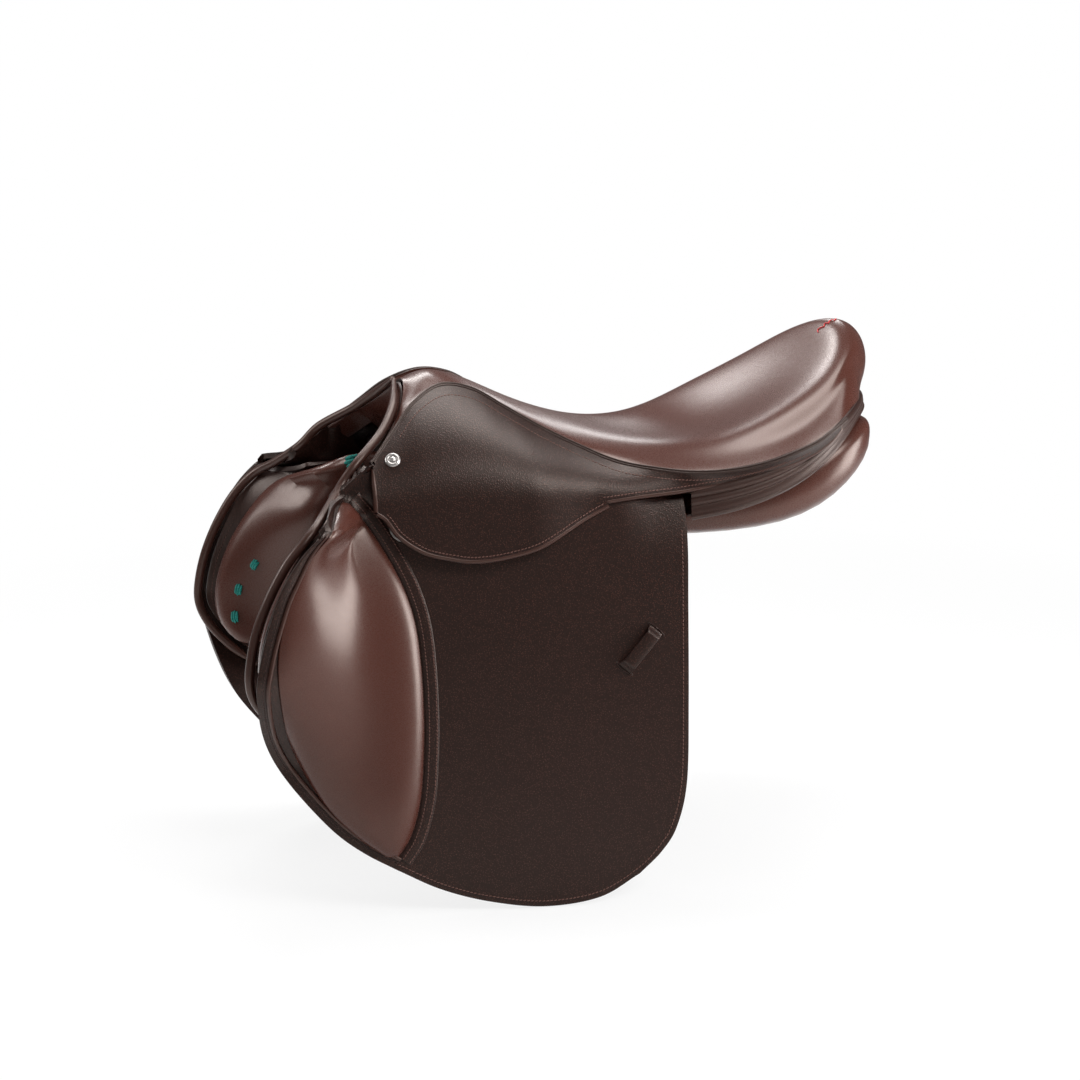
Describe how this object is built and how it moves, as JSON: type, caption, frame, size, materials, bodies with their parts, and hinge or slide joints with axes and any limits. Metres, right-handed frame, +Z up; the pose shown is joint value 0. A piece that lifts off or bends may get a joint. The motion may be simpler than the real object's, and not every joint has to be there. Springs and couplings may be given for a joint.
{
  "type": "leather jumping saddle",
  "caption": "Forward-cut leather jumping saddle with a deep padded seat, skirts, lifting flaps, knee pads, stuffed panels, stirrup bars and girth straps.",
  "frame": {"origin": "on the middle plane, under the deepest part of the seat, level with the lowest line of the two panels", "axes": "-X towards the pommel, +X towards the cantle, -Y the near (left) side, +Z up"},
  "size_m": [0.5886, 0.3384, 0.4687],
  "materials": {
    "calf": "smooth reddish brown calf with a soft sheen",
    "grain": "pebbled dark brown hide",
    "edge": "thin rolled dark brown hide",
    "strap": "flat brown strap leather",
    "foam": "dense open foam",
    "tree": "laminated beech",
    "webbing": "woven undyed web",
    "steel": "plain forged steel",
    "nickel": "polished nickel plate",
    "lace": "waxed teal thread"
  },
  "bodies": {
    "saddle": {"seat_cover": "calf", "head_lining": "calf", "cantle_facing": "calf", "seat_foam": "foam", "tree": "tree", "seat_web": "webbing", "head_plate": "steel", "sweat_flap_left": "calf", "knee_block_left": "calf", "panel_left": "calf", "flap_top_left": "grain", "skirt_top_left": "grain", "seat_welt_left": "edge", "front_roll_left": "edge", "tree_point_left": "tree", "girth_web_left": "webbing", "spring_left": "steel", "stirrup_bar_left": "steel", "saddle_nail_left": "nickel", "panel_lace_left_1": "lace", "panel_lace_left_2": "lace", "panel_lace_left_3": "lace", "panel_lace_left_4": "lace", "sweat_flap_right": "calf", "knee_block_right": "calf", "panel_right": "calf", "flap_top_right": "grain", "skirt_top_right": "grain", "seat_welt_right": "edge", "front_roll_right": "edge", "tree_point_right": "tree", "girth_web_right": "webbing", "spring_right": "steel", "stirrup_bar_right": "steel", "saddle_nail_right": "nickel", "panel_lace_right_1": "lace", "panel_lace_right_2": "lace", "panel_lace_right_3": "lace", "panel_lace_right_4": "lace"},
    "flap_left": {"flap_left": "grain", "knee_pad_left": "calf", "flap_keeper_left": "grain", "dee_chape_left": "grain"},
    "skirt_left": {"skirt_left": "grain"},
    "dee_left": {"dee_left": "nickel"},
    "catch_left": {"bar_catch_left": "steel"},
    "strap_left_front": {"girth_strap_left_front": "strap"},
    "strap_left_rear": {"girth_strap_left_rear": "strap"},
    "flap_right": {"flap_right": "grain", "knee_pad_right": "calf", "flap_keeper_right": "grain", "dee_chape_right": "grain"},
    "skirt_right": {"skirt_right": "grain"},
    "dee_right": {"dee_right": "nickel"},
    "catch_right": {"bar_catch_right": "steel"},
    "strap_right_front": {"girth_strap_right_front": "strap"},
    "strap_right_rear": {"girth_strap_right_rear": "strap"}
  },
  "joints": [
    {"name": "flap_left_lift", "type": "hinge", "parent": "saddle", "child": "flap_left", "pos_m": [-0.12, -0.11964, 0.04], "axis": [-0.9935, 0.1143, 0], "range_deg": [0, 75]},
    {"name": "skirt_left_lift", "type": "hinge", "parent": "flap_left", "child": "skirt_left", "pos_m": [-0.12, -0.11964, 0.04], "axis": [-0.9935, 0.1143, 0], "range_deg": [0, 95]},
    {"name": "dee_left_swing", "type": "hinge", "parent": "flap_left", "child": "dee_left", "pos_m": [-0.193, -0.10197, 0.033], "axis": [-0.9936, 0.1114, -0.0178], "range_deg": [0, 12]},
    {"name": "catch_left_turn", "type": "hinge", "parent": "saddle", "child": "catch_left", "pos_m": [-0.09823, -0.10702, 0.056], "axis": [-0.1143, -0.9935, 0], "range_deg": [0, 80]},
    {"name": "strap_left_front_swing", "type": "hinge", "parent": "saddle", "child": "strap_left_front", "pos_m": [-0.085, -0.10177, 0.03], "axis": [-0.1128, -0.9811, 0.157], "range_deg": [-8, 8]},
    {"name": "strap_left_rear_swing", "type": "hinge", "parent": "saddle", "child": "strap_left_rear", "pos_m": [-0.02, -0.10924, 0.03], "axis": [-0.1128, -0.9811, 0.157], "range_deg": [-8, 8]},
    {"name": "flap_right_lift", "type": "hinge", "parent": "saddle", "child": "flap_right", "pos_m": [-0.12, 0.11964, 0.04], "axis": [0.9935, 0.1143, 0], "range_deg": [0, 75]},
    {"name": "skirt_right_lift", "type": "hinge", "parent": "flap_right", "child": "skirt_right", "pos_m": [-0.12, 0.11964, 0.04], "axis": [0.9935, 0.1143, 0], "range_deg": [0, 95]},
    {"name": "dee_right_swing", "type": "hinge", "parent": "flap_right", "child": "dee_right", "pos_m": [-0.193, 0.10197, 0.033], "axis": [0.9936, 0.1114, 0.0178], "range_deg": [0, 12]},
    {"name": "catch_right_turn", "type": "hinge", "parent": "saddle", "child": "catch_right", "pos_m": [-0.09823, 0.10702, 0.056], "axis": [0.1143, -0.9935, 0], "range_deg": [0, 80]},
    {"name": "strap_right_front_swing", "type": "hinge", "parent": "saddle", "child": "strap_right_front", "pos_m": [-0.085, 0.10177, 0.03], "axis": [-0.1128, 0.9811, 0.157], "range_deg": [-8, 8]},
    {"name": "strap_right_rear_swing", "type": "hinge", "parent": "saddle", "child": "strap_right_rear", "pos_m": [-0.02, 0.10924, 0.03], "axis": [-0.1128, 0.9811, 0.157], "range_deg": [-8, 8]}
  ]
}
